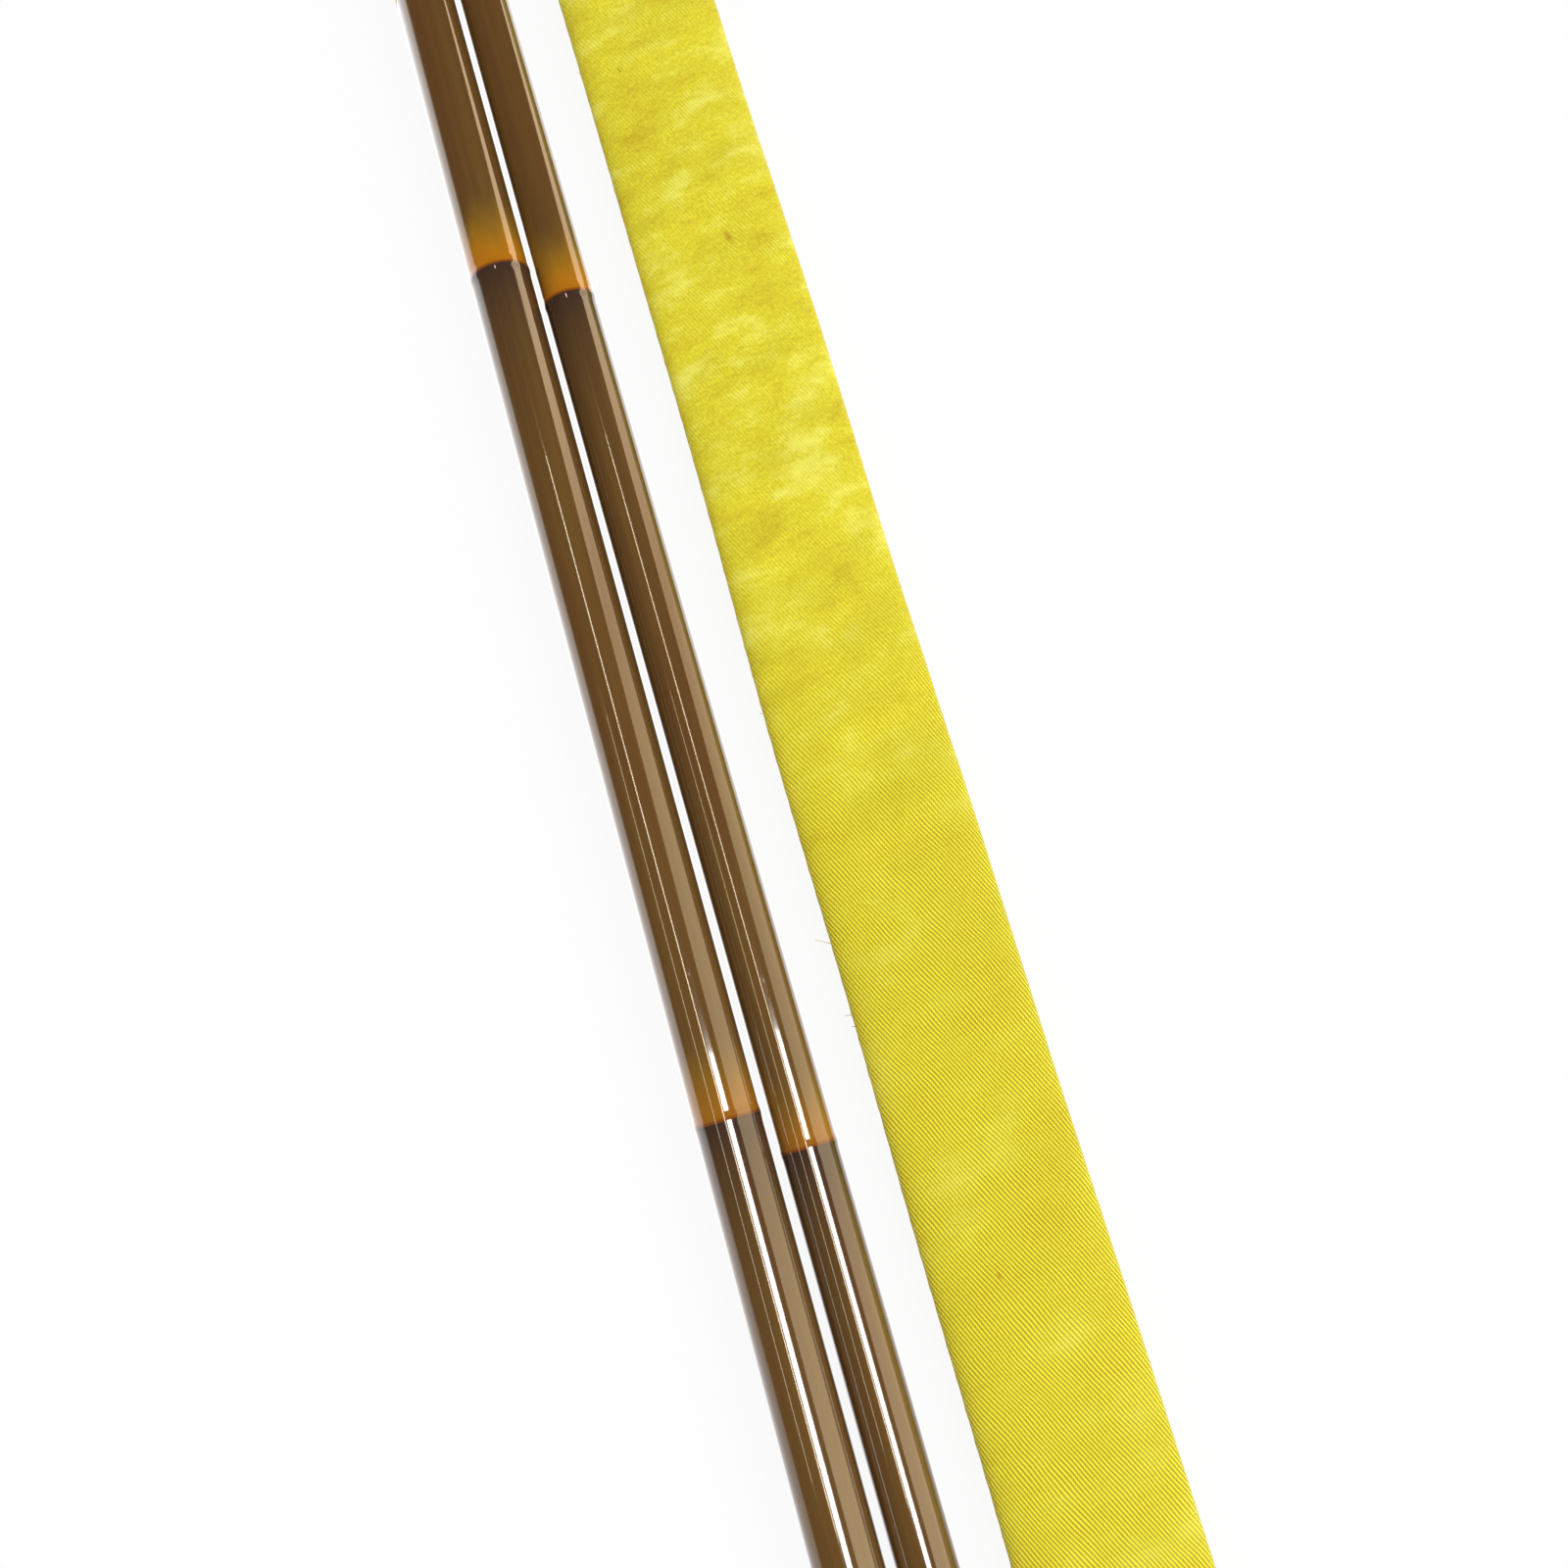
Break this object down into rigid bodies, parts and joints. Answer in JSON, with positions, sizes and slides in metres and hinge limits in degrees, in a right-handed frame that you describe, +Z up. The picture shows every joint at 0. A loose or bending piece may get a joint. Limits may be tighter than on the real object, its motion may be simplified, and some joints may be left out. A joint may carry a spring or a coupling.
{
  "type": "herabuna rod",
  "caption": "Put-over pole rod for crucian carp, stowed as two lacquered bamboo-look tubes with the other sections inside, beside its flat cloth sleeve.",
  "frame": {"origin": "the middle of the whole set's base, on the surface that the tubes and the sleeve lie on", "axes": "+Y along the rod from its butt to its mouth, +X from the butt tube to the sleeve, +Z up"},
  "size_m": [0.0868, 1.3602, 0.0208],
  "materials": {
    "bamboo_lacquer": "clear lacquer over a brown bamboo-look print, glossy",
    "dark_lacquer": "dark brown lacquer over thread, glossy",
    "gold_lacquer": "thin gold-coloured band under lacquer",
    "grip_cord": "fine cord wound close, sealed matt",
    "grip_foam": "hard foam, hidden under the cord",
    "soft_rubber": "matt black",
    "plug_wood": "turned, oiled",
    "yellow_twill": "cotton twill, washed and slightly worn",
    "tab_leather": "thin brown leather, matt"
  },
  "bodies": {
    "butt": {"butt_blank": "bamboo_lacquer", "butt_cap": "dark_lacquer", "butt_cushion": "soft_rubber", "grip_core": "grip_foam", "grip_winding": "grip_cord", "grip_rear_collar": "dark_lacquer", "grip_front_collar": "dark_lacquer", "butt_mouth_wrap": "dark_lacquer", "butt_rear_band": "gold_lacquer", "butt_front_band": "gold_lacquer"},
    "third": {"third_blank": "bamboo_lacquer", "third_mouth_wrap": "dark_lacquer"},
    "tip": {"tip_blank": "bamboo_lacquer", "tip_whipping": "dark_lacquer"},
    "butt_plug": {"butt_plug_knob": "dark_lacquer", "butt_plug_stem": "plug_wood", "butt_plug_ring": "soft_rubber"},
    "fourth": {"fourth_blank": "bamboo_lacquer", "fourth_shoulder_wrap": "dark_lacquer", "fourth_mouth_wrap": "dark_lacquer", "fourth_rear_band": "gold_lacquer", "fourth_front_band": "gold_lacquer"},
    "second": {"second_blank": "bamboo_lacquer", "second_mouth_wrap": "dark_lacquer"},
    "fourth_plug": {"fourth_plug_knob": "dark_lacquer", "fourth_plug_stem": "plug_wood", "fourth_plug_ring": "soft_rubber"},
    "spigot_cap": {"spigot_cap": "dark_lacquer", "spigot_cap_pad": "soft_rubber"},
    "bag": {"bag_sleeve": "yellow_twill", "bag_hem": "yellow_twill", "bag_tie_tab": "tab_leather"}
  },
  "joints": [
    {"name": "third_slide", "type": "slide", "parent": "butt", "child": "third", "axis": [0, 1, -0.0022], "range_m": [0, 1.26]},
    {"name": "tip_slide", "type": "slide", "parent": "third", "child": "tip", "axis": [0, 1, -0.0023], "range_m": [0, 1.2]},
    {"name": "butt_plug_slide", "type": "slide", "parent": "tip", "child": "butt_plug", "axis": [0, 1, -0.003], "range_m": [0, 0.05]},
    {"name": "fourth_lift", "type": "slide", "parent": "butt", "child": "fourth", "axis": [0, 0, 1], "range_m": [0, 0.1]},
    {"name": "second_slide", "type": "slide", "parent": "fourth", "child": "second", "axis": [-0.0041, 1, -0.0011], "range_m": [0, 1.28]},
    {"name": "fourth_plug_slide", "type": "slide", "parent": "second", "child": "fourth_plug", "axis": [-0.0041, 1, -0.001], "range_m": [0, 0.05]},
    {"name": "spigot_cap_slide", "type": "slide", "parent": "fourth", "child": "spigot_cap", "axis": [0.0041, -1, 0.001], "range_m": [0, 0.08]},
    {"name": "bag_lift", "type": "slide", "parent": "butt", "child": "bag", "axis": [0, 0, 1], "range_m": [0, 0.1]}
  ]
}
